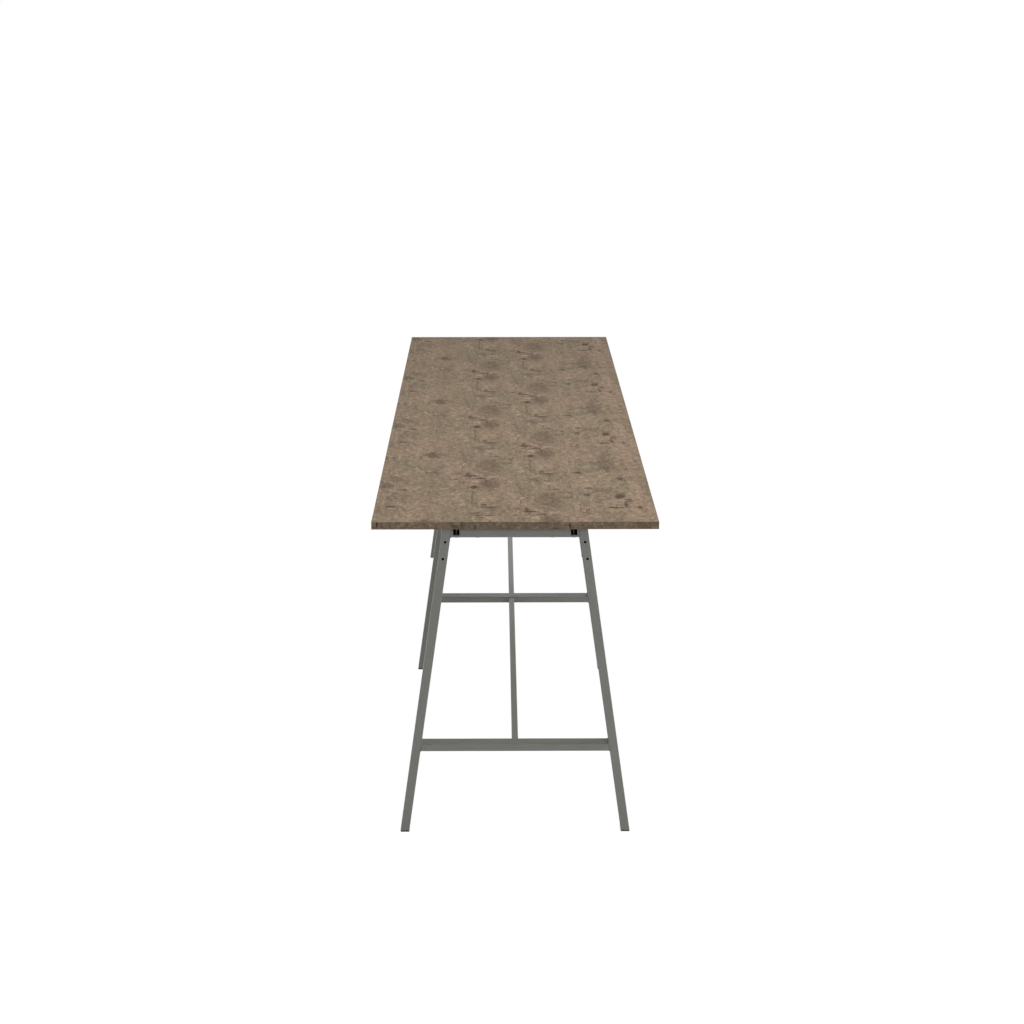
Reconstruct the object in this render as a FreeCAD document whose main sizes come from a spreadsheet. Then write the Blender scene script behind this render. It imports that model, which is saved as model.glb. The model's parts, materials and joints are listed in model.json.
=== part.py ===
import FreeCAD, Part
import math
import os
import Sketcher

# Long bar-height standing table on three welded A-frames, in millimetres.
# +Z is up, +Y runs along the table and the origin is on the floor under the middle of the top.

DRIVING = {
    # table top
    "top_length": 3600,
    "top_width": 950,
    "table_height": 1100,
    "top_thickness": 25,
    "laminate_thickness": 0.8,
    "band_thickness": 2,
    # welded frames of rectangular tube
    "leg_width": 30,
    "leg_depth": 60,
    "tube_wall": 2,
    "tube_radius": 3,
    "splay": 8.1,
    "foot_spread": 756,
    "frame_inset": 15,
    "top_rail_height": 30,
    "foot_rail_height": 25,
    "foot_rail_level": 317,
    # how far a cutting shape runs past the edge that it cuts through
    "cut_margin": 2,
    # accessory holes in the leg faces
    "hole_diameter": 9,
    "hole_drop": 48,
    "hole_pitch": 58,
    # beams under the top, lying in notches of the top rails, with a gap to the legs beside them
    "beam_size": 25,
    "beam_wall": 2,
    "beam_radius": 2.5,
    "beam_gap": 2.64,
    "notch_clearance": 0.5,
    # stringers between the foot rails
    "stringer_size": 22,
    "stringer_wall": 2,
    "stringer_radius": 2.5,
    "tongue_thickness": 4,
    "tongue_reach": 44,
    "tongue_overlap": 30,
    "slot_clearance": 0.3,
    # screws and inserts
    "spacer_thickness": 2,
    "spacer_diameter": 22,
    "rail_bolt_offset": 125,
    "bolt_diameter": 8,
    "bolt_hole_diameter": 9,
    "bolt_head_diameter": 13,
    "bolt_head_height": 5,
    "bolt_socket_size": 5,
    "bolt_socket_depth": 3,
    "top_bolt_length": 45,
    "foot_bolt_length": 20,
    "washer_diameter": 16,
    "washer_bore_diameter": 8.4,
    "washer_thickness": 1.6,
    "nut_size": 13,
    "nut_height": 6.5,
    "insert_diameter": 12,
    "insert_length": 18,
    "insert_gap": 0.5,
    "thread_clearance": 0.05,
    # shoes and levelling glides
    "shoe_thickness": 5,
    "plug_height": 24,
    "plug_clearance": 0.2,
    "foot_insert_level": 8,
    "foot_insert_diameter": 14,
    "foot_insert_length": 15,
    "stem_diameter": 10,
    "stem_length": 34,
    "stem_flange_diameter": 13,
    "stem_flange_height": 2,
    "stem_clearance": 0.3,
    "stem_socket_size": 5,
    "stem_socket_depth": 4,
    "key_hole_diameter": 7,
    "glide_diameter": 20,
    "glide_thickness": 5,
    "glide_floor": 1.2,
    "glide_rise": 0.3,
    "glide_clearance": 0.4,
}

# Derived lengths, as expressions over the driving dimensions.
SPLAY = "tan(size.splay)"
LEAN = "cos(size.splay)"
UNDERSIDE = "(size.table_height - size.top_thickness)"
FRAME_TOP = f"({UNDERSIDE} - size.spacer_thickness)"
RAIL_BASE = f"({FRAME_TOP} - size.top_rail_height)"
LEG_BASE = "size.shoe_thickness"
LEG_RISE = f"({FRAME_TOP} - {LEG_BASE})"
LEG_BASE_X = f"(size.foot_spread / 2 - {LEG_BASE} * {SPLAY})"
LEG_SECTION = f"(size.leg_width / {LEAN})"
LEG_WALL = f"(size.tube_wall / {LEAN})"
PITCH = "(size.top_length / 2 - size.frame_inset - size.leg_depth / 2)"
BAY = f"({PITCH} - size.leg_depth)"
FOOT_RAIL_BASE = "(size.foot_rail_level - size.foot_rail_height)"
STRINGER_Z = f"({FOOT_RAIL_BASE} + size.stringer_size / 2)"
TONGUE_Z = f"({FOOT_RAIL_BASE} + size.tube_wall)"
BEAM_Z = f"({FRAME_TOP} - size.beam_size / 2)"
LEG_TOP_X = f"(size.foot_spread / 2 - {FRAME_TOP} * {SPLAY} - {LEG_SECTION} / 2)"
BEAM_X = f"({LEG_TOP_X} - size.beam_gap - size.beam_size / 2)"
BOLT_HOLE = "size.bolt_hole_diameter / 2"
INSERT_BORE = "size.bolt_diameter / 2 + size.thread_clearance"
WASHER_BORE = "size.washer_bore_diameter / 2"

FRAMES = {"front": -1, "middle": 0, "rear": 1}
SIDES = {"left": -1, "right": 1}

doc = FreeCAD.newDocument("standing_table")
size = doc.addObject("Spreadsheet::Sheet", "size")
for row, (alias, value) in enumerate(DRIVING.items(), start=1):
    size.set(f"A{row}", alias)
    size.set(f"B{row}", str(value))
    size.setAlias(f"B{row}", alias)
doc.recompute()

nodes = []


# ---------------------------------------------------------------- helpers

def bind(obj, **cells):
    """Bind properties to expressions; x, y and z place the object."""
    for name, expression in cells.items():
        path = f"Placement.Base.{name}" if name in ("x", "y", "z") else name
        obj.setExpression(path, str(expression))
    return obj


def keep(obj, label):
    """List an object as one sub-part of the table."""
    obj.Label = label
    nodes.append(obj)
    return obj


def new_body(label, x="0", y="0", z="0"):
    body = keep(doc.addObject("PartDesign::Body", label), label)
    return bind(body, x=x, y=y, z=z)


def new_sketch(body, name, role):
    sketch = body.newObject("Sketcher::SketchObject", f"{body.Name}_{name}")
    plane = next(item for item in body.Origin.OriginFeatures if item.Role == role)
    sketch.AttachmentSupport = [(plane, "")]
    sketch.MapMode = "FlatFace"
    return sketch


def raise_sketch(sketch, level):
    """Lift a sketch above the origin plane that it lies on."""
    sketch.setExpression("AttachmentOffset.Base.z", str(level))


def constrain(sketch, expression, *arguments):
    """Add one dimension to a sketch and bind it to an expression."""
    index = sketch.addConstraint(Sketcher.Constraint(*arguments))
    sketch.setExpression(f"Constraints[{index}]", str(expression))


def draw_round_rectangle(sketch, width, height, radius, guess):
    """Rounded rectangle about the sketch origin; guess only starts the solver."""
    a, b, r = guess
    vector = FreeCAD.Vector
    first = sketch.GeometryCount
    corners = [(a - r, r - b, -90), (a - r, b - r, 0), (r - a, b - r, 90), (r - a, r - b, 180)]
    ends = [((r - a, -b), (a - r, -b)), ((a, r - b), (a, b - r)),
            ((a - r, b), (r - a, b)), ((-a, b - r), (-a, r - b))]
    for ((x1, y1), (x2, y2)), (cx, cy, start) in zip(ends, corners):
        sketch.addGeometry(Part.LineSegment(vector(x1, y1, 0), vector(x2, y2, 0)))
        circle = Part.Circle(vector(cx, cy, 0), vector(0, 0, 1), r)
        arc = Part.ArcOfCircle(circle, math.radians(start), math.radians(start + 90))
        sketch.addGeometry(arc)
    for step in range(8):
        here = first + step
        following = first + (step + 1) % 8
        sketch.addConstraint(Sketcher.Constraint("Tangent", here, 2, following, 1))
    for step in (0, 4):
        sketch.addConstraint(Sketcher.Constraint("Horizontal", first + step))
        sketch.addConstraint(Sketcher.Constraint("Vertical", first + step + 2))
    for step in (3, 5, 7):
        sketch.addConstraint(Sketcher.Constraint("Equal", first + 1, first + step))
    constrain(sketch, radius, "Radius", first + 1, r)
    constrain(sketch, width, "DistanceX", first + 6, 1, first + 2, 1, 2 * a)
    constrain(sketch, height, "DistanceY", first, 1, first + 4, 1, 2 * b)
    sketch.addConstraint(Sketcher.Constraint("Symmetric", first + 5, 3, first + 1, 3, -1, 1))


def draw_polygon(sketch, points):
    """Closed outline; each corner is a pair of expressions, and the first guess zigzags."""
    first = sketch.GeometryCount
    count = len(points)
    for step in range(count):
        start = FreeCAD.Vector(step, (step * step) % 7, 0)
        end = FreeCAD.Vector(step + 1, ((step + 1) * (step + 1)) % 7, 0)
        sketch.addGeometry(Part.LineSegment(start, end))
    for step in range(count):
        following = first + (step + 1) % count
        sketch.addConstraint(Sketcher.Constraint("Coincident", first + step, 2, following, 1))
    for step, (x, y) in enumerate(points):
        constrain(sketch, x, "DistanceX", -1, 1, first + step, 1, 1)
        constrain(sketch, y, "DistanceY", -1, 1, first + step, 1, 1)


def draw_box(sketch, left, right, low, high):
    draw_polygon(sketch, [(left, low), (right, low), (right, high), (left, high)])


def draw_circles(sketch, centres, radius):
    for x, y in centres:
        circle = Part.Circle(FreeCAD.Vector(1, 1, 0), FreeCAD.Vector(0, 0, 1), 1)
        index = sketch.addGeometry(circle)
        constrain(sketch, radius, "Radius", index, 1)
        constrain(sketch, x, "DistanceX", -1, 1, index, 3, 1)
        constrain(sketch, y, "DistanceY", -1, 1, index, 3, 1)


def pad(body, sketch, length, symmetric=False):
    feature = body.newObject("PartDesign::Pad", f"{sketch.Name}_pad")
    feature.Profile = sketch
    feature.SideType = "Symmetric" if symmetric else "One side"
    bind(feature, Length=length)
    return feature


def lean(feature, sign):
    """Slant a pad with the splay of the leg on that side, keeping its ends level."""
    feature.UseCustomVector = True
    feature.AlongSketchNormal = True
    feature.Direction = FreeCAD.Vector(-sign * 0.1, 0, 1)
    feature.setExpression("Direction.x", f"{-sign} * {SPLAY}")


def pocket(body, sketch, symmetric=False, reverse=False, length=None):
    """Cut a sketch out of its body, through everything or to a length."""
    feature = body.newObject("PartDesign::Pocket", f"{sketch.Name}_cut")
    feature.Profile = sketch
    feature.SideType = "Symmetric" if symmetric else "One side"
    feature.Reversed = reverse
    feature.Type = "ThroughAll" if length is None else "Length"
    if length is not None:
        bind(feature, Length=length)
    return feature


def cylinder(name, radius, height, x="0", y="0", z="0"):
    return bind(doc.addObject("Part::Cylinder", name), Radius=radius, Height=height, x=x, y=y, z=z)


def hexagon(name, flats, height, x, y, z):
    """Hexagonal prism given by its size across flats."""
    prism = doc.addObject("Part::Prism", name)
    prism.Polygon = 6
    return bind(prism, Circumradius=f"{flats} / 2 / cos(30)", Height=height, x=x, y=y, z=z)


def cut(name, base, *tools):
    feature = doc.addObject("Part::Cut", name)
    feature.Base = base
    feature.Tool = tools[0] if len(tools) == 1 else fuse(f"{name}_tools", *tools)
    return feature


def fuse(name, *pieces):
    feature = doc.addObject("Part::MultiFuse", name)
    feature.Shapes = list(pieces)
    return feature


def group(label, pieces):
    """Several equal, separate solids as one sub-part."""
    compound = doc.addObject("Part::Compound", label)
    compound.Links = pieces
    return keep(compound, label)


def ring(name, outer, bore, height, x, y, z):
    outside = cylinder(f"{name}_outside", outer, height, x, y, z)
    inside = cylinder(f"{name}_bore", bore, height, x, y, z)
    return cut(name, outside, inside)


def socket_screw(name, length, x, y, seat):
    """Low-head cap screw; its head hangs below the seat and its shank rises from it."""
    head_z = f"{seat} - size.bolt_head_height"
    shank = cylinder(f"{name}_shank", "size.bolt_diameter / 2", length, x, y, seat)
    head = cylinder(f"{name}_head", "size.bolt_head_diameter / 2", "size.bolt_head_height", x, y, head_z)
    key = hexagon(f"{name}_key", "size.bolt_socket_size", "size.bolt_socket_depth", x, y, head_z)
    return cut(name, fuse(f"{name}_solid", shank, head), key)


def frame_y(frame):
    return f"({FRAMES[frame]} * {PITCH})"


def screw_places(offsets):
    """Every screw position under the top at the given distances from the centre line."""
    return [(f"({side} * {offset})", frame_y(frame))
            for frame in FRAMES for offset in offsets for side in SIDES.values()]


ALL_SCREWS = screw_places([BEAM_X, "size.rail_bolt_offset"])


# ---------------------------------------------------------------- table top

CORE_LENGTH = "(size.top_length - 2 * size.band_thickness)"
CORE_WIDTH = "(size.top_width - 2 * size.band_thickness)"
CORE_THICKNESS = "(size.top_thickness - 2 * size.laminate_thickness)"


def make_panel(label, thickness, base, hole_depth=None):
    """Flat sheet of the top; hole_depth drills the insert holes up from its underside."""
    body = new_body(label, z=base)
    outline = new_sketch(body, "outline", "XY_Plane")
    draw_box(outline, f"-{CORE_WIDTH} / 2", f"{CORE_WIDTH} / 2",
             f"-{CORE_LENGTH} / 2", f"{CORE_LENGTH} / 2")
    pad(body, outline, thickness)
    if hole_depth:
        holes = new_sketch(body, "insert_holes", "XY_Plane")
        draw_circles(holes, ALL_SCREWS, "size.insert_diameter / 2")
        pocket(body, holes, reverse=True, length=hole_depth)


def make_edge_band(label, width, length, x, y):
    band = keep(doc.addObject("Part::Box", label), label)
    bind(band, Width=length, Length=width, Height="size.top_thickness")
    bind(band, x=f"{x} - {width} / 2", y=f"{y} - {length} / 2", z=UNDERSIDE)


make_panel("tabletop_core", CORE_THICKNESS, f"{UNDERSIDE} + size.laminate_thickness",
           "size.insert_length - size.laminate_thickness + size.insert_gap")
make_panel("tabletop_laminate", "size.laminate_thickness",
           "size.table_height - size.laminate_thickness")
make_panel("underside_laminate", "size.laminate_thickness", UNDERSIDE, "size.laminate_thickness")
for end, sign in (("front", -1), ("rear", 1)):
    make_edge_band(f"{end}_edge_band", CORE_WIDTH, "size.band_thickness", "0",
                   f"{sign} * (size.top_length - size.band_thickness) / 2")
for side, sign in SIDES.items():
    make_edge_band(f"{side}_edge_band", "size.band_thickness", "size.top_length",
                   f"{sign} * (size.top_width - size.band_thickness) / 2", "0")


# ---------------------------------------------------------------- welded frames

def make_leg(frame, side):
    """Splayed tube with level ends and two accessory holes in its outward face."""
    sign = SIDES[side]
    body = new_body(f"{frame}_{side}_leg", x=f"{sign} * {LEG_BASE_X}", y=frame_y(frame), z=LEG_BASE)
    section = new_sketch(body, "section", "XY_Plane")
    draw_round_rectangle(section, LEG_SECTION, "size.leg_depth", "size.tube_radius", (15, 30, 3))
    draw_round_rectangle(section, f"({LEG_SECTION} - 2 * {LEG_WALL})",
                         "(size.leg_depth - 2 * size.tube_wall)",
                         "size.tube_radius - size.tube_wall", (13, 28, 1))
    lean(pad(body, section, LEG_RISE), sign)
    holes = new_sketch(body, "accessory_holes", "XZ_Plane")
    upper = f"({UNDERSIDE} - size.hole_drop - {LEG_BASE})"
    lower = f"({upper} - size.hole_pitch)"
    centres = [(f"{-sign} * {level} * {SPLAY}", level) for level in (upper, lower)]
    draw_circles(holes, centres, "size.hole_diameter / 2")
    pocket(body, holes, reverse=frame != "rear")


def make_rail(label, frame, level, height):
    """Tube across a frame, its ends cut to lie on the inner faces of the two legs."""
    body = new_body(label, y=frame_y(frame), z=f"{level} + {height} / 2")
    section = new_sketch(body, "section", "YZ_Plane")
    draw_round_rectangle(section, "size.leg_depth", height, "size.tube_radius", (30, 12, 3))
    draw_round_rectangle(section, "(size.leg_depth - 2 * size.tube_wall)",
                         f"({height} - 2 * size.tube_wall)",
                         "size.tube_radius - size.tube_wall", (28, 10, 1))
    inner = f"(size.foot_spread / 2 - {LEG_SECTION} / 2 - {level} * {SPLAY})"
    pad(body, section, f"2 * {inner}", symmetric=True)
    mitres = new_sketch(body, "mitres", "XZ_Plane")
    narrowing = f"({height} * {SPLAY})"
    for sign in SIDES.values():
        beyond = f"{sign} * ({inner} + size.cut_margin)"
        draw_polygon(mitres, [(f"{sign} * {inner}", f"-{height} / 2"),
                              (beyond, f"-{height} / 2"),
                              (beyond, f"{height} / 2"),
                              (f"{sign} * ({inner} - {narrowing})", f"{height} / 2")])
    pocket(body, mitres, symmetric=True)
    return body


def make_top_rail(frame):
    """Rail under the top, notched for the two beams and drilled for four screws."""
    body = make_rail(f"{frame}_top_rail", frame, RAIL_BASE, "size.top_rail_height")
    notches = new_sketch(body, "beam_notches", "XZ_Plane")
    half = "(size.beam_size / 2 + size.notch_clearance)"
    top = "size.top_rail_height / 2"
    for sign in SIDES.values():
        centre = f"{sign} * {BEAM_X}"
        draw_box(notches, f"{centre} - {half}", f"{centre} + {half}",
                 f"{top} - size.beam_size", f"{top} + size.cut_margin")
    pocket(body, notches, symmetric=True)
    holes = new_sketch(body, "screw_holes", "XY_Plane")
    offsets = (BEAM_X, "size.rail_bolt_offset")
    centres = [(f"{sign} * {offset}", "0") for sign in SIDES.values() for offset in offsets]
    draw_circles(holes, centres, BOLT_HOLE)
    pocket(body, holes, symmetric=True)


TONGUE_WIDTH = "(size.stringer_size - 2 * size.stringer_wall)"


def make_foot_rail(frame):
    """Foot rest with a screw hole below and a slot for the tongue of each stringer."""
    body = make_rail(f"{frame}_foot_rail", frame, FOOT_RAIL_BASE, "size.foot_rail_height")
    hole = new_sketch(body, "screw_hole", "XY_Plane")
    draw_circles(hole, [("0", "0")], BOLT_HOLE)
    pocket(body, hole)
    slot = new_sketch(body, "tongue_slot", "XZ_Plane")
    half = f"({TONGUE_WIDTH} / 2 + size.slot_clearance)"
    low = "(size.tube_wall - size.foot_rail_height / 2)"
    draw_box(slot, f"-{half}", half, low, f"{low} + 2 * size.tongue_thickness + size.slot_clearance")
    pocket(body, slot, symmetric=frame == "middle", reverse=frame == "rear")


for frame in FRAMES:
    for side in SIDES:
        make_leg(frame, side)
    make_top_rail(frame)
    make_foot_rail(frame)


# ---------------------------------------------------------------- beams and stringers

def make_beam(side):
    """Open-ended square tube under the top from the first frame to the last."""
    body = new_body(f"{side}_beam", x=f"{SIDES[side]} * {BEAM_X}", z=BEAM_Z)
    section = new_sketch(body, "section", "XZ_Plane")
    draw_round_rectangle(section, "size.beam_size", "size.beam_size", "size.beam_radius", (12, 12, 2))
    inner = "(size.beam_size - 2 * size.beam_wall)"
    draw_round_rectangle(section, inner, inner, "size.beam_radius - size.beam_wall", (10, 10, 0.5))
    pad(body, section, f"2 * {PITCH} + size.leg_depth", symmetric=True)
    holes = new_sketch(body, "screw_holes", "XY_Plane")
    draw_circles(holes, [("0", frame_y(frame)) for frame in FRAMES], BOLT_HOLE)
    pocket(body, holes, symmetric=True)


def make_stringer(label, sign):
    """Square tube between two foot rails; its tongues lap inside the middle rail."""
    body = new_body(label, y=f"{sign} * {PITCH} / 2", z=STRINGER_Z)
    section = new_sketch(body, "section", "XZ_Plane")
    outer = "size.stringer_size"
    draw_round_rectangle(section, outer, outer, "size.stringer_radius", (11, 11, 2))
    inner = "(size.stringer_size - 2 * size.stringer_wall)"
    radius = "size.stringer_radius - size.stringer_wall"
    draw_round_rectangle(section, inner, inner, radius, (9, 9, 0.5))
    pad(body, section, BAY, symmetric=True)
    floor = "(size.stringer_wall - size.stringer_size / 2)"
    for name, end, level in (("front_tongue", -1, 1), ("rear_tongue", 1, 0)):
        root = f"{end} * ({BAY} / 2 - size.tongue_overlap)"
        tip = f"{end} * ({BAY} / 2 + size.tongue_reach)"
        plate = new_sketch(body, name, "XY_Plane")
        raise_sketch(plate, f"{floor} + {level} * size.tongue_thickness")
        draw_box(plate, f"-{TONGUE_WIDTH} / 2", f"{TONGUE_WIDTH} / 2", root, tip)
        draw_circles(plate, [("0", f"{end} * {PITCH} / 2")], BOLT_HOLE)
        pad(body, plate, "size.tongue_thickness")


for side in SIDES:
    make_beam(side)
make_stringer("front_stringer", -1)
make_stringer("rear_stringer", 1)


# ---------------------------------------------------------------- screws, washers and inserts

def make_top_fasteners():
    seat = f"({RAIL_BASE} - size.washer_thickness)"
    for label, offset in (("beam_screws", BEAM_X), ("rail_screws", "size.rail_bolt_offset")):
        group(label, [socket_screw(f"{label}_{index}", "size.top_bolt_length", x, y, seat)
                      for index, (x, y) in enumerate(screw_places([offset]))])
    group("top_washers", [ring(f"top_washer_{index}", "size.washer_diameter / 2", WASHER_BORE,
                               "size.washer_thickness", x, y, seat)
                          for index, (x, y) in enumerate(ALL_SCREWS)])
    group("spacer_pads", [ring(f"spacer_pad_{index}", "size.spacer_diameter / 2", BOLT_HOLE,
                               "size.spacer_thickness", x, y, FRAME_TOP)
                          for index, (x, y) in enumerate(ALL_SCREWS)])
    outside = "size.insert_diameter / 2 - size.thread_clearance"
    group("threaded_inserts", [ring(f"threaded_insert_{index}", outside, INSERT_BORE,
                                    "size.insert_length", x, y, UNDERSIDE)
                               for index, (x, y) in enumerate(ALL_SCREWS)])


def make_foot_rail_fasteners():
    """One screw, washer and nut per foot rail, and a packing ring where only one tongue lies high."""
    seat = f"({FOOT_RAIL_BASE} - size.washer_thickness)"
    screws = []
    washers = []
    nuts = []
    for frame in FRAMES:
        y = frame_y(frame)
        plates = 1 if frame == "rear" else 2
        nut_z = f"{TONGUE_Z} + {plates} * size.tongue_thickness"
        screws.append(socket_screw(f"{frame}_foot_screw", "size.foot_bolt_length", "0", y, seat))
        washers.append(ring(f"{frame}_foot_washer", "size.washer_diameter / 2",
                            WASHER_BORE, "size.washer_thickness", "0", y, seat))
        nut = hexagon(f"{frame}_nut_blank", "size.nut_size", "size.nut_height", "0", y, nut_z)
        thread = cylinder(f"{frame}_nut_thread", INSERT_BORE, "size.nut_height", "0", y, nut_z)
        nuts.append(cut(f"{frame}_nut", nut, thread))
    group("foot_rail_screws", screws)
    group("foot_rail_washers", washers)
    group("foot_rail_nuts", nuts)
    keep(ring("tongue_packing_ring", "size.washer_diameter / 2", BOLT_HOLE,
              "size.tongue_thickness", "0", frame_y("front"), TONGUE_Z), "tongue_packing_ring")


make_top_fasteners()
make_foot_rail_fasteners()


# ---------------------------------------------------------------- shoes and levelling glides

GLIDE_TOP = "(size.glide_rise + size.glide_thickness)"
STEM_BASE = "(size.glide_rise + size.glide_floor + size.stem_clearance)"
STEM_HOLE = "size.stem_diameter / 2 + size.stem_clearance"


def make_foot_shoe(frame, side):
    """Plug in the end of a leg; its base covers the tube wall and hides the glide in a recess."""
    sign = SIDES[side]
    body = new_body(f"{frame}_{side}_foot_shoe", x=f"{sign} * {LEG_BASE_X}", y=frame_y(frame))
    base = new_sketch(body, "base", "XY_Plane")
    draw_round_rectangle(base, LEG_SECTION, "size.leg_depth", "size.tube_radius", (15, 30, 3))
    pad(body, base, "size.shoe_thickness")
    core = new_sketch(body, "core", "XY_Plane")
    raise_sketch(core, "size.shoe_thickness")
    shrink = "2 * size.plug_clearance"
    draw_round_rectangle(core, f"({LEG_SECTION} - 2 * {LEG_WALL} - {shrink})",
                         f"(size.leg_depth - 2 * size.tube_wall - {shrink})",
                         "size.tube_radius - size.tube_wall", (12, 27, 1))
    lean(pad(body, core, "size.plug_height"), sign)
    bore = new_sketch(body, "stem_bore", "XY_Plane")
    draw_circles(bore, [("0", "0")], STEM_HOLE)
    pocket(body, bore, symmetric=True)
    seat = new_sketch(body, "insert_seat", "XY_Plane")
    raise_sketch(seat, "size.foot_insert_level")
    draw_circles(seat, [("0", "0")], "size.foot_insert_diameter / 2")
    pocket(body, seat, reverse=True, length="size.plug_height")
    recess = new_sketch(body, "glide_recess", "XY_Plane")
    draw_circles(recess, [("0", "0")], "size.glide_diameter / 2 + size.glide_clearance")
    pocket(body, recess, reverse=True, length=f"{GLIDE_TOP} + size.glide_clearance")


def make_foot_glide(frame, side):
    """Round glide that swivels on the flange of the stem, with a key hole from below."""
    body = new_body(f"{frame}_{side}_foot_glide", x=f"{SIDES[side]} * {LEG_BASE_X}",
                    y=frame_y(frame), z="size.glide_rise")
    disc = new_sketch(body, "disc", "XY_Plane")
    draw_circles(disc, [("0", "0")], "size.glide_diameter / 2")
    pad(body, disc, "size.glide_thickness")
    key_hole = new_sketch(body, "key_hole", "XY_Plane")
    draw_circles(key_hole, [("0", "0")], "size.key_hole_diameter / 2")
    pocket(body, key_hole, symmetric=True)
    room = new_sketch(body, "flange_room", "XY_Plane")
    raise_sketch(room, "size.glide_floor")
    draw_circles(room, [("0", "0")], "size.stem_flange_diameter / 2 + size.stem_clearance")
    pocket(body, room, reverse=True, length="size.stem_flange_height + 2 * size.stem_clearance")
    neck = new_sketch(body, "neck", "XY_Plane")
    raise_sketch(neck, "size.glide_floor")
    draw_circles(neck, [("0", "0")], STEM_HOLE)
    pocket(body, neck, reverse=True, length="size.glide_thickness")


def make_foot_stem(frame, side):
    """Threaded stem with a captive flange, turned from below with a hexagon key."""
    label = f"{frame}_{side}_foot_stem"
    x = f"({SIDES[side]} * {LEG_BASE_X})"
    y = frame_y(frame)
    flange = cylinder(f"{label}_flange", "size.stem_flange_diameter / 2", "size.stem_flange_height",
                      x, y, STEM_BASE)
    shank = cylinder(f"{label}_shank", "size.stem_diameter / 2", "size.stem_length", x, y, STEM_BASE)
    key = hexagon(f"{label}_key", "size.stem_socket_size", "size.stem_socket_depth", x, y, STEM_BASE)
    keep(cut(label, fuse(f"{label}_solid", flange, shank), key), label)


def make_foot_insert(frame, side):
    """Metal nut in the shoe that the stem screws through."""
    return ring(f"{frame}_{side}_foot_insert",
                "size.foot_insert_diameter / 2 - size.thread_clearance",
                "size.stem_diameter / 2 + size.thread_clearance", "size.foot_insert_length",
                f"{SIDES[side]} * {LEG_BASE_X}", frame_y(frame), "size.foot_insert_level")


foot_inserts = []
for frame in FRAMES:
    for side in SIDES:
        make_foot_shoe(frame, side)
        make_foot_glide(frame, side)
        make_foot_stem(frame, side)
        foot_inserts.append(make_foot_insert(frame, side))
group("foot_inserts", foot_inserts)


# ---------------------------------------------------------------- check and write

doc.recompute()
for item in doc.Objects:
    if "Invalid" in item.State or "Error" in item.State:
        raise RuntimeError(f"{item.Label} failed: {item.State}")
os.makedirs("parts", exist_ok=True)
for node in nodes:
    if node.Shape.isNull() or not node.Shape.isValid():
        raise RuntimeError(f"{node.Label} has no valid shape")
    node.Shape.exportStep(f"parts/{node.Label}.step")
print(len(nodes), "sub-parts written")
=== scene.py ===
"""Looks of a long standing-height table: rustic board top on powder-coated A-frames."""
import json
import math

import bmesh
import bpy
from mathutils import Euler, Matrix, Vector


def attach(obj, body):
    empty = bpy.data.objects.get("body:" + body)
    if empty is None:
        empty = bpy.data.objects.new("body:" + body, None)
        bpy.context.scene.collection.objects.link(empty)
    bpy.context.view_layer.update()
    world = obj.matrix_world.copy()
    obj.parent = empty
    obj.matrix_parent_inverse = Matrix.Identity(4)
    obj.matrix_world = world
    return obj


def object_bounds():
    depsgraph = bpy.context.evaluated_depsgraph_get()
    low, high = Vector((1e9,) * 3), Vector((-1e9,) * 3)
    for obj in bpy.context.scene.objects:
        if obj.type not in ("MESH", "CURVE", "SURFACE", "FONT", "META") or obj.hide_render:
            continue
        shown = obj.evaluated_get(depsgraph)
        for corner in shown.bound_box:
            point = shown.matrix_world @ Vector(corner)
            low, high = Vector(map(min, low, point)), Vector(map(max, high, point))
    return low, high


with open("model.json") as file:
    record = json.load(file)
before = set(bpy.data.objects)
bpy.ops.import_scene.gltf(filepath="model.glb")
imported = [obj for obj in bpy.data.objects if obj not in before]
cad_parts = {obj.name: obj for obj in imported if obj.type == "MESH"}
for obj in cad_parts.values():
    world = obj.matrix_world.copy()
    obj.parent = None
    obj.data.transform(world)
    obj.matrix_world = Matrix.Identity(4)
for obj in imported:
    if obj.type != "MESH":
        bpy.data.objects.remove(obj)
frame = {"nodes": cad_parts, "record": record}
cad_low, cad_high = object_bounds()
NODES = frame["nodes"]



# ---------------------------------------------------------------- node helpers

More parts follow.
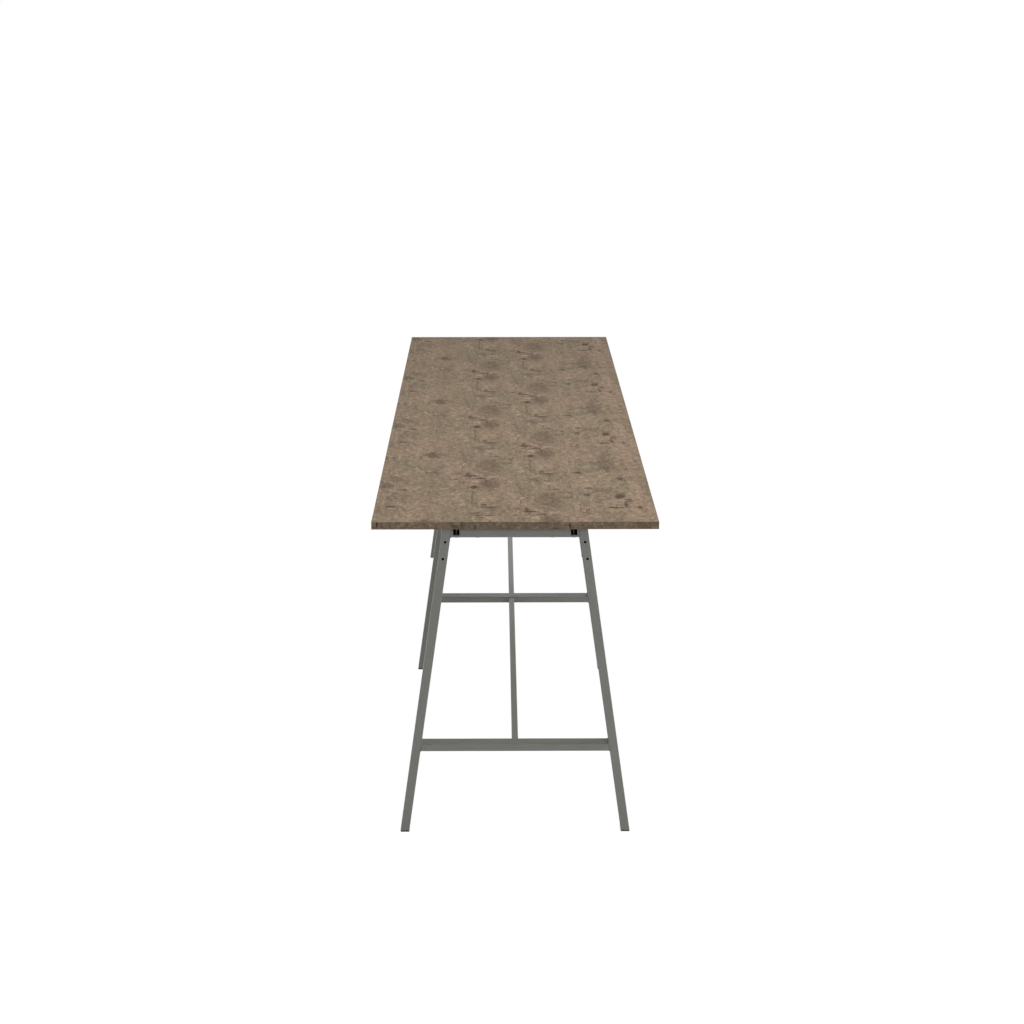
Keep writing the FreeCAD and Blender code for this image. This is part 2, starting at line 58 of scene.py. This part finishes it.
class Nodes:
    """A small writer for material node trees."""

    def __init__(self, name):
        self.material = bpy.data.materials.new(name)
        self.material.use_nodes = True
        self.tree = self.material.node_tree
        self.shader = self.tree.nodes["Principled BSDF"]
        self.place = self.add("ShaderNodeTexCoord").outputs["Object"]

    def add(self, kind, inputs=None, **settings):
        node = self.tree.nodes.new(kind)
        for key, value in settings.items():
            setattr(node, key, value)
        for key, value in (inputs or {}).items():
            if isinstance(value, bpy.types.NodeSocket):
                self.tree.links.new(value, node.inputs[key])
            else:
                node.inputs[key].default_value = value
        return node

    def mapped(self, scale=(1, 1, 1), location=(0, 0, 0), source=None, rotation=(0, 0, 0)):
        settings = {"Vector": source or self.place, "Scale": scale,
                    "Location": location, "Rotation": rotation}
        return self.add("ShaderNodeMapping", settings).outputs["Vector"]

    def noise(self, where, scale, detail=4.0, rough=0.5, distort=0.0, lacunarity=2.0):
        inputs = {"Vector": where, "Scale": scale, "Detail": detail, "Roughness": rough,
                  "Distortion": distort, "Lacunarity": lacunarity}
        return self.add("ShaderNodeTexNoise", inputs).outputs["Fac"]

    def noise_colour(self, where, scale, detail=2.0):
        inputs = {"Vector": where, "Scale": scale, "Detail": detail}
        return self.add("ShaderNodeTexNoise", inputs).outputs["Color"]

    def cells(self, where, scale, feature="F1", randomness=1.0):
        inputs = {"Vector": where, "Scale": scale, "Randomness": randomness}
        return self.add("ShaderNodeTexVoronoi", inputs, feature=feature)

    def ramp(self, value, low, high, start=0.0, end=1.0, smooth=True):
        """Map low..high to start..end, clamped."""
        inputs = {"Value": value, "From Min": low, "From Max": high, "To Min": start, "To Max": end}
        kind = "SMOOTHSTEP" if smooth else "LINEAR"
        return self.add("ShaderNodeMapRange", inputs, interpolation_type=kind).outputs["Result"]

    def math(self, operation, a, b=0.0, clamp=False):
        return self.add("ShaderNodeMath", {0: a, 1: b}, operation=operation,
                        use_clamp=clamp).outputs[0]

    def mix(self, factor, a, b, blend="MIX"):
        node = self.add("ShaderNodeMix", data_type="RGBA", blend_type=blend)
        for socket, value in ((node.inputs[0], factor), (node.inputs[6], a), (node.inputs[7], b)):
            if isinstance(value, bpy.types.NodeSocket):
                self.tree.links.new(value, socket)
            elif socket.type == "RGBA":
                socket.default_value = (*linear(value), 1.0)
            else:
                socket.default_value = value
        return node.outputs[2]

    def warp(self, where, scale, amount, detail=2.0):
        """Shift a coordinate by noise, so that what is drawn with it wanders."""
        shift = self.add("ShaderNodeVectorMath", {0: self.noise_colour(where, scale, detail),
                                                  1: (0.5, 0.5, 0.5)}, operation="SUBTRACT")
        scaled = self.add("ShaderNodeVectorMath", {0: shift.outputs[0], "Scale": amount},
                          operation="SCALE")
        return self.add("ShaderNodeVectorMath", {0: where, 1: scaled.outputs[0]},
                        operation="ADD").outputs[0]

    def finish(self, colour, roughness, height=None, strength=0.2, distance=0.001):
        for key, value in (("Base Color", colour), ("Roughness", roughness)):
            if isinstance(value, bpy.types.NodeSocket):
                self.tree.links.new(value, self.shader.inputs[key])
            elif key == "Base Color":
                self.shader.inputs[key].default_value = (*linear(value), 1.0)
            else:
                self.shader.inputs[key].default_value = value
        if height is not None:
            bump = self.add("ShaderNodeBump", {"Height": height, "Strength": strength,
                                               "Distance": distance})
            self.tree.links.new(bump.outputs["Normal"], self.shader.inputs["Normal"])
        return self.material


def linear(colour):
    """Turn a 0-255 display colour into linear values."""
    out = []
    for value in colour:
        share = value / 255
        out.append(share / 12.92 if share <= 0.04045 else ((share + 0.055) / 1.055) ** 2.4)
    return out


# ---------------------------------------------------------------- materials

# The print repeats along the table, and one plank of it comes again beside itself, moved on.
PERIOD = 1.01
PLANK_EDGE = -0.003
PLANK_WIDTH = 0.206
PLANK_SHIFT = 0.49

# Marks in the print, in metres: middle x and y, half width, half length, depth and softness.
MARKS = (
    (-0.140, -1.31, 0.012, 0.028, 1.0, 0.5),
    (-0.140, -1.31, 0.026, 0.011, 0.85, 0.6),
    (-0.165, -1.12, 0.007, 0.030, 0.9, 0.5),
    (-0.155, -1.14, 0.026, 0.011, 0.95, 0.5),
    (-0.115, -1.18, 0.020, 0.012, 0.9, 0.5),
    (-0.100, -1.23, 0.007, 0.045, 0.75, 0.6),
    (-0.090, -0.98, 0.055, 0.160, 0.55, 1.0),
    (-0.085, -1.27, 0.045, 0.100, 0.55, 1.0),
    (-0.105, -0.56, 0.014, 0.020, 0.8, 0.6),
    (-0.090, -0.59, 0.034, 0.010, 0.8, 0.6),
    (-0.100, -0.70, 0.036, 0.008, 0.75, 0.5),
    (-0.020, -0.87, 0.024, 0.008, 0.75, 0.6),
    (-0.020, -0.94, 0.026, 0.009, 0.75, 0.6),
    (-0.145, -1.46, 0.004, 0.120, 0.55, 0.6),
    (-0.300, -0.80, 0.038, 0.034, 0.6, 1.0),
    (-0.290, -0.84, 0.026, 0.014, 0.75, 0.7),
    (-0.420, -0.58, 0.018, 0.013, 0.85, 0.6),
    (-0.450, -1.29, 0.034, 0.050, 0.65, 1.0),
    (-0.290, -1.09, 0.034, 0.007, 0.7, 0.5),
    (-0.390, -1.35, 0.010, 0.016, 0.8, 0.5),
    (0.230, -1.09, 0.014, 0.015, 0.95, 0.5),
    (0.230, -1.10, 0.030, 0.007, 0.8, 0.6),
    (0.260, -1.33, 0.012, 0.016, 0.75, 0.5),
    (0.250, -1.43, 0.010, 0.022, 0.75, 0.5),
    (0.365, -1.45, 0.018, 0.038, 0.9, 0.7),
    (0.395, -1.50, 0.018, 0.010, 0.85, 0.5),
    (0.345, -1.61, 0.030, 0.010, 0.95, 0.5),
    (0.380, -1.57, 0.007, 0.040, 0.9, 0.5),
    (0.425, -1.61, 0.008, 0.024, 0.8, 0.5),
    (0.380, -1.19, 0.010, 0.028, 0.8, 0.5),
    (0.340, -0.94, 0.045, 0.190, 0.48, 1.0),
    (0.430, -1.04, 0.040, 0.006, 0.8, 0.5),
)


def make_decor(name, tone, edge=False):
    """Rustic greige wood print: two earthy tones, dark stains, short cracks, fissures and knots."""
    n = Nodes(name)
    flat, place = make_edge_place(n) if edge else make_print_place(n)
    patches = n.noise(n.mapped((7.5, 4.0, 4.0), source=place), 1.0, 3.0, 0.55)
    colour = n.mix(n.ramp(patches, 0.40, 0.60), shade((129, 116, 94), tone), shade((146, 124, 103), tone))
    strips = n.noise(n.mapped((16, 2.2, 2.2), (3.1, 0, 0), place), 1.0, 3.0, 0.55)
    colour = n.mix(n.ramp(strips, 0.48, 0.72, 0.0, 0.55), colour, shade((166, 144, 120), tone))
    clouds = n.noise(n.mapped((9, 6, 6), (0.7, 2.3, 0), place), 1.0, 5.0, 0.7)
    colour = n.mix(n.ramp(clouds, 0.50, 0.68, 0.0, 0.75), colour, shade((98, 83, 69), tone))
    grain = n.noise(n.mapped((64, 34, 34), source=place), 1.0, 6.0, 0.85, lacunarity=2.4)
    colour = n.mix(n.ramp(grain, 0.42, 0.58, 0.0, 0.75), colour, shade((100, 85, 70), tone))
    light = n.noise(n.mapped((75, 36, 36), (4, 9, 0), place), 1.0, 6.0, 0.85, lacunarity=2.4)
    colour = n.mix(n.ramp(light, 0.52, 0.64, 0.0, 0.75), colour, shade((188, 166, 141), tone))
    dashes = add_dashes(n, place, (20, 44, 44), 0.36, 0.50, (0, 0, 0))
    fine = add_dashes(n, place, (46, 90, 90), 0.34, 0.45, (5.2, 1.3, 2.0))
    dark = n.math("MAXIMUM", n.math("MULTIPLY", dashes, 0.85), n.math("MULTIPLY", fine, 0.7))
    dark = n.math("MAXIMUM", dark, add_fissures(n, place, (17, 3.0, 3.0), 0.8, (0, 0, 0)))
    dark = n.math("MAXIMUM", dark, add_fissures(n, place, (30, 5.0, 5.0), 0.6, (2.0, 4.0, 1.0)))
    if not edge:
        dark = n.math("MAXIMUM", dark, add_marks(n, flat))
    colour = n.mix(dark, colour, shade((52, 41, 33), tone))
    pores = n.noise(n.mapped((700, 160, 160)), 1.0, 2.0, 0.5)
    height = n.math("SUBTRACT", n.math("MULTIPLY", pores, 0.5), n.math("MULTIPLY", dark, 1.4))
    roughness = n.ramp(pores, 0.2, 0.8, 0.60, 0.75)
    n.shader.inputs["Specular IOR Level"].default_value = 0.08
    return n.finish(colour, roughness, height, 0.18, 0.0004)


def make_edge_place(n):
    """Place in the print of the edge bands, whose grain runs along each band."""
    axis = n.add("ShaderNodeSeparateXYZ", {"Vector": n.place}).outputs
    along = n.math("ADD", axis[0], axis[1])
    flat = n.add("ShaderNodeCombineXYZ", {"X": axis[2], "Y": along}).outputs[0]
    return flat, n.mapped((1.0, 1.6, 1.0), (0.3, 0.2, 0.0), flat)


def make_print_place(n):
    """Place in the print: flat metres for the marks, and rolled up so that noise repeats unseen."""
    axis = n.add("ShaderNodeSeparateXYZ", {"Vector": n.place}).outputs
    drop = n.math("MULTIPLY", n.math("SUBTRACT", axis[2], 1.1), 0.7)
    across = n.math("ADD", axis[0], drop)
    along = n.math("ADD", axis[1], drop)
    inside = n.math("MULTIPLY", n.math("GREATER_THAN", across, PLANK_EDGE),
                    n.math("LESS_THAN", across, PLANK_EDGE + PLANK_WIDTH))
    across = n.math("SUBTRACT", across, n.math("MULTIPLY", inside, PLANK_WIDTH))
    along = n.math("SUBTRACT", along, n.math("MULTIPLY", inside, PLANK_SHIFT))
    flat = n.add("ShaderNodeCombineXYZ", {"X": across, "Y": along}).outputs[0]
    angle = n.math("MULTIPLY", along, 2 * math.pi / PERIOD)
    radius = PERIOD / (2 * math.pi)
    rolled = {"X": across, "Y": n.math("MULTIPLY", n.math("COSINE", angle), radius),
              "Z": n.math("MULTIPLY", n.math("SINE", angle), radius)}
    return flat, n.add("ShaderNodeCombineXYZ", rolled).outputs[0]


def add_marks(n, flat):
    """The large knots, cracks and stains, with ragged outlines."""
    where = n.warp(n.warp(flat, 24.0, 0.022, 4.0), 90.0, 0.010, 4.0)
    dark = 0.0
    for x, y, half_width, half_length, depth, softness in MARKS:
        shift = n.add("ShaderNodeVectorMath", {0: where, 1: (x, y, 0)}, operation="SUBTRACT")
        wrapped = n.add("ShaderNodeVectorMath", {0: shift.outputs[0], 1: (5, PERIOD / 2, 5),
                                                 2: (-5, -PERIOD / 2, -5)}, operation="WRAP")
        scaled = n.add("ShaderNodeVectorMath", {0: wrapped.outputs[0],
                                                1: (1 / half_width, 1 / half_length, 0)},
                       operation="MULTIPLY")
        distance = n.add("ShaderNodeVectorMath", {0: scaled.outputs[0]}, operation="LENGTH")
        mark = n.ramp(distance.outputs["Value"], 1.25 - softness, 1.25, depth, 0.0)
        dark = mark if dark == 0.0 else n.math("MAXIMUM", dark, mark)
    mottle = n.noise(n.mapped((70, 45, 45), source=flat), 1.0, 5.0, 0.75)
    return n.math("MULTIPLY", dark, n.ramp(mottle, 0.38, 0.56, 0.45, 1.0))


def add_fissures(n, place, scale, depth, offset):
    """Thin wandering lines along the grain, drawn only in places."""
    field = n.noise(n.mapped(scale, offset, place), 1.0, 3.0, 0.6)
    line = n.ramp(n.math("ABSOLUTE", n.math("SUBTRACT", field, 0.5)), 0.0, 0.011, 1.0, 0.0)
    kept = n.noise(n.mapped((9, 7, 7), (offset[1], 3.0, 1.0), place), 1.0, 2.0, 0.5)
    return n.math("MULTIPLY", line, n.ramp(kept, 0.48, 0.62, 0.0, depth))


def shade(colour, tone):
    return tuple(value * tone for value in colour)


def add_dashes(n, place, scale, size, kept, offset):
    """Short dark strokes at scattered cells; kept is the share of cells left blank."""
    cells = n.cells(n.mapped(scale, offset, n.warp(place, 30.0, 0.008, 3.0)), 1.0)
    lot = n.add("ShaderNodeSeparateColor", {"Color": cells.outputs["Color"]})
    ragged = n.math("ADD", cells.outputs["Distance"],
                    n.math("MULTIPLY", n.noise(n.mapped((160, 160, 160)), 1.0, 3.0, 0.6), 0.34))
    reach = n.math("MULTIPLY", lot.outputs[1], size)
    body = n.math("SUBTRACT", n.math("ADD", reach, 0.17), ragged)
    stroke = n.ramp(body, 0.0, 0.16)
    present = n.ramp(lot.outputs[0], kept, kept + 0.25)
    return n.math("MULTIPLY", stroke, present)


def make_paint():
    """Olive-grey powder coat with fine orange peel and speckle, and painted shade: darkened to near black
    inside the tubes and in tight corners.
    """
    n = Nodes("olive_grey_powder_coat")
    speckle = n.noise(n.mapped((900, 900, 900)), 1.0, 2.0, 0.6)
    cloud = n.noise(n.mapped((7, 5, 6)), 1.0, 4.0, 0.6)
    colour = n.mix(n.ramp(cloud, 0.3, 0.7), (99, 101, 95), (105, 106, 100))
    colour = n.mix(n.ramp(speckle, 0.45, 0.75, 0.0, 0.45), colour, (120, 121, 116))
    dust = n.noise(n.mapped((1600, 1600, 1600), (3, 1, 2)), 1.0, 1.0, 0.5)
    colour = n.mix(n.ramp(dust, 0.62, 0.78, 0.0, 0.35), colour, (76, 77, 72))
    peel = n.noise(n.mapped((420, 420, 420)), 1.0, 3.0, 0.55)
    # Painted shade: an ambient-occlusion mask darkens the coat to near black inside the tubes and in tight
    # corners.
    painted_shade_occlusion = n.add("ShaderNodeAmbientOcclusion", {"Distance": 0.06}, samples=8, only_local=True)
    colour = n.mix(n.ramp(painted_shade_occlusion.outputs["AO"], 0.03, 0.30), (20, 20, 19), colour)
    n.shader.inputs["Specular IOR Level"].default_value = 0.6
    return n.finish(colour, n.ramp(peel, 0.2, 0.8, 0.32, 0.42), peel, 0.08, 0.0003)


def make_plastic(name, base, lift):
    """Moulded plastic with a spark-eroded texture."""
    n = Nodes(name)
    grain = n.noise(n.mapped((1300, 1300, 1300)), 1.0, 3.0, 0.6)
    scuffs = n.noise(n.mapped((60, 60, 400)), 1.0, 4.0, 0.7)
    colour = n.mix(n.ramp(grain, 0.35, 0.75), base, lift)
    colour = n.mix(n.ramp(scuffs, 0.62, 0.8, 0.0, 0.4), colour, shade(lift, 1.5))
    return n.finish(colour, n.ramp(grain, 0.2, 0.8, 0.5, 0.7), grain, 0.2, 0.0002)


def make_steel():
    """Zinc-plated steel with a faint spangle and turning marks."""
    n = Nodes("zinc_plated_steel")
    spangle = n.cells(n.mapped((350, 350, 350)), 1.0)
    turning = n.noise(n.mapped((120, 120, 2600)), 1.0, 3.0, 0.5)
    colour = n.mix(n.ramp(spangle.outputs["Distance"], 0.1, 0.8), (104, 105, 103), (128, 129, 129))
    colour = n.mix(n.ramp(turning, 0.4, 0.7, 0.0, 0.35), colour, (86, 86, 84))
    n.shader.inputs["Metallic"].default_value = 1.0
    return n.finish(colour, n.ramp(turning, 0.2, 0.8, 0.3, 0.46), turning, 0.12, 0.0002)


def make_chipboard():
    """Pressed wood chips, seen only in the screw holes."""
    n = Nodes("raw_chipboard")
    chips = n.cells(n.warp(n.mapped((140, 420, 900)), 2.0, 0.4), 1.0)
    lot = n.add("ShaderNodeSeparateColor", {"Color": chips.outputs["Color"]})
    colour = n.mix(lot.outputs[0], (196, 170, 128), (148, 118, 80))
    return n.finish(colour, 0.8, chips.outputs["Distance"], 0.4, 0.0005)


DECOR = make_decor("rustic_board_decor", 0.86)
EDGE = make_decor("rustic_edge_decor", 0.80, edge=True)
PAINT = make_paint()
BLACK = make_plastic("black_moulded_plastic", (25, 25, 25), (42, 42, 41))
RUBBER = make_plastic("black_rubber_pad", (20, 20, 20), (31, 31, 30))
STEEL = make_steel()
CHIPBOARD = make_chipboard()


def paint_node(name, material):
    node = NODES[name]
    node.data.materials.clear()
    node.data.materials.append(material)


BY_SLOT = {"board_decor": DECOR, "board_core": CHIPBOARD, "frame_paint": PAINT,
           "black_plastic": BLACK, "black_rubber": RUBBER, "zinc_steel": STEEL}
for part in frame["record"]["subparts"]:
    banded = part["node"].endswith("edge_band")
    paint_node(part["node"], EDGE if banded else BY_SLOT[part["material_slot"]])


# ---------------------------------------------------------------- weld beads

def add_bead(mesh, side, level, middle_y, below):
    """One rippled bead along the corner between a rail and the inner face of a leg."""
    around = 8
    rings = []
    for step in range(45):
        y = middle_y - 0.0265 + 0.053 * step / 44
        radius = 0.0017 + 0.0003 * math.sin(step * 1.9)
        centre_z = level - 0.0004 if below else level + 0.0004
        centre_x = side * (LEG_INNER_X - centre_z * LEG_LEAN - 0.0004)
        ring = []
        for turn in range(around):
            angle = 2 * math.pi * turn / around
            place = (centre_x + radius * math.cos(angle), y, centre_z + radius * math.sin(angle))
            ring.append(mesh.verts.new(place))
        rings.append(ring)
    for first, second in zip(rings, rings[1:]):
        for turn in range(around):
            following = (turn + 1) % around
            mesh.faces.new((first[turn], first[following], second[following], second[turn]))
    mesh.faces.new(list(reversed(rings[0])))
    mesh.faces.new(rings[-1])


def make_welds(name, middle_y):
    """Fillet welds of one frame: above and below the foot rail and below the top rail."""
    mesh = bmesh.new()
    for side in (-1, 1):
        add_bead(mesh, side, 0.317, middle_y, False)
        add_bead(mesh, side, 0.292, middle_y, True)
        add_bead(mesh, side, 1.043, middle_y, True)
    bmesh.ops.recalc_face_normals(mesh, faces=mesh.faces)
    data = bpy.data.meshes.new(name)
    mesh.to_mesh(data)
    mesh.free()
    for face in data.polygons:
        face.use_smooth = True
    welds = bpy.data.objects.new(name, data)
    bpy.context.scene.collection.objects.link(welds)
    data.materials.append(PAINT)
    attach(welds, "table")


LEG_LEAN = math.tan(math.radians(8.1))
LEG_INNER_X = 0.378 - 0.015 / math.cos(math.radians(8.1))
for frame_name, middle_y in (("front", -1.755), ("middle", 0.0), ("rear", 1.755)):
    make_welds(f"{frame_name}_frame_welds", middle_y)


# ---------------------------------------------------------------- floor, light and camera

def make_plain(name, colour, camera_white=True):
    """Matt pale surface of the given colour, which takes the object's shadow."""
    material = bpy.data.materials.new(name)
    material.use_nodes = True
    tree = material.node_tree
    shader = tree.nodes["Principled BSDF"]
    shader.inputs["Base Color"].default_value = (*linear(colour), 1.0)
    shader.inputs["Roughness"].default_value = 0.9
    return material


def make_floor():
    mesh = bpy.data.meshes.new("floor")
    reach = 40.0
    level = cad_low.z
    corners = [(-reach, -reach, level), (reach, -reach, level), (reach, reach, level), (-reach, reach, level)]
    mesh.from_pydata(corners, [], [(0, 1, 2, 3)])
    floor = bpy.data.objects.new("floor", mesh)
    bpy.context.scene.collection.objects.link(floor)
    material = make_plain("pale_floor", (215, 215, 215))
    tree = material.node_tree
    output = tree.nodes["Material Output"]
    shader = tree.nodes["Principled BSDF"]
    glow = tree.nodes.new("ShaderNodeEmission")
    glow.inputs["Strength"].default_value = 1.03
    path = tree.nodes.new("ShaderNodeLightPath")
    share = tree.nodes.new("ShaderNodeMath")
    share.operation = "MULTIPLY"
    share.inputs[1].default_value = FLOOR_GLOW
    either = tree.nodes.new("ShaderNodeMath")
    either.operation = "ADD"
    either.use_clamp = True
    both = tree.nodes.new("ShaderNodeMath")
    both.operation = "ADD"
    both.use_clamp = True
    mix = tree.nodes.new("ShaderNodeMixShader")
    link = tree.links.new
    link(path.outputs["Is Camera Ray"], either.inputs[0])
    link(path.outputs["Is Glossy Ray"], either.inputs[1])
    link(either.outputs[0], both.inputs[0])
    link(path.outputs["Is Transmission Ray"], both.inputs[1])
    link(both.outputs[0], share.inputs[0])
    link(share.outputs[0], mix.inputs["Fac"])
    link(shader.outputs[0], mix.inputs[1])
    link(glow.outputs[0], mix.inputs[2])
    link(mix.outputs[0], output.inputs["Surface"])
    floor.data.materials.append(material)


def make_world():
    world = bpy.data.worlds.new("studio")
    bpy.context.scene.world = world
    world.use_nodes = True
    tree = world.node_tree
    output = tree.nodes["World Output"]
    soft = tree.nodes["Background"]
    soft.inputs["Color"].default_value = (1.0, 1.0, 1.0, 1.0)
    soft.inputs["Strength"].default_value = WORLD_LIGHT
    white = tree.nodes.new("ShaderNodeBackground")
    white.inputs["Color"].default_value = (1.0, 1.0, 1.0, 1.0)
    white.inputs["Strength"].default_value = 1.0
    path = tree.nodes.new("ShaderNodeLightPath")
    first = tree.nodes.new("ShaderNodeMath")
    first.operation = "ADD"
    first.use_clamp = True
    second = tree.nodes.new("ShaderNodeMath")
    second.operation = "ADD"
    second.use_clamp = True
    mix = tree.nodes.new("ShaderNodeMixShader")
    link = tree.links.new
    link(path.outputs["Is Camera Ray"], first.inputs[0])
    link(path.outputs["Is Glossy Ray"], first.inputs[1])
    link(first.outputs[0], second.inputs[0])
    link(path.outputs["Is Transmission Ray"], second.inputs[1])
    link(second.outputs[0], mix.inputs["Fac"])
    link(soft.outputs[0], mix.inputs[1])
    link(white.outputs[0], mix.inputs[2])
    link(mix.outputs[0], output.inputs["Surface"])


def make_lamp(name, place, target, size, power):
    light = bpy.data.lights.new(name, "AREA")
    light.shape = "RECTANGLE"
    light.size, light.size_y = size
    light.energy = power
    lamp = bpy.data.objects.new(name, light)
    lamp.location = place
    lamp.rotation_euler = (Vector(target) - Vector(place)).to_track_quat("-Z", "Y").to_euler()
    bpy.context.scene.collection.objects.link(lamp)
    lamp.visible_camera = False
    lamp.visible_glossy = False


def make_camera():
    """Long lens at the short end, above the top and a little left of the middle."""
    data = bpy.data.cameras.new("camera")
    data.lens = LENS
    data.sensor_width = SENSOR
    data.clip_end = 100
    camera = bpy.data.objects.new("camera", data)
    camera.location = (CAMERA_X, cad_low.y - CAMERA_DISTANCE, CAMERA_HEIGHT)
    camera.rotation_euler = Euler((math.radians(90) - CAMERA_PITCH, 0, -CAMERA_YAW), "XYZ")
    bpy.context.scene.collection.objects.link(camera)
    bpy.context.scene.camera = camera


SENSOR = 36.0
LENS = 76.728
CAMERA_X = -0.060
CAMERA_DISTANCE = 6.9635
CAMERA_HEIGHT = 2.9103
CAMERA_PITCH = 0.249746
CAMERA_YAW = 0.00708
FLOOR_GLOW = 0.96
WORLD_LIGHT = 0.42

make_floor()
make_world()
make_lamp("overhead", (0.9, -1.2, 5.2), (0.0, -0.2, 1.0), (4.5, 6.0), 150)
make_lamp("front_high", (1.7, -7.6, 4.7), (0, -1.4, 0.8), (3.5, 2.5), 158)
make_lamp("side_right", (4.6, -0.8, 3.4), (0, -0.4, 0.4), (2.5, 4.5), 215)
make_lamp("side_left", (-4.6, -0.8, 3.4), (0, -0.4, 0.4), (2.5, 4.5), 75)
make_camera()

bpy.context.scene.view_settings.view_transform = "Standard"
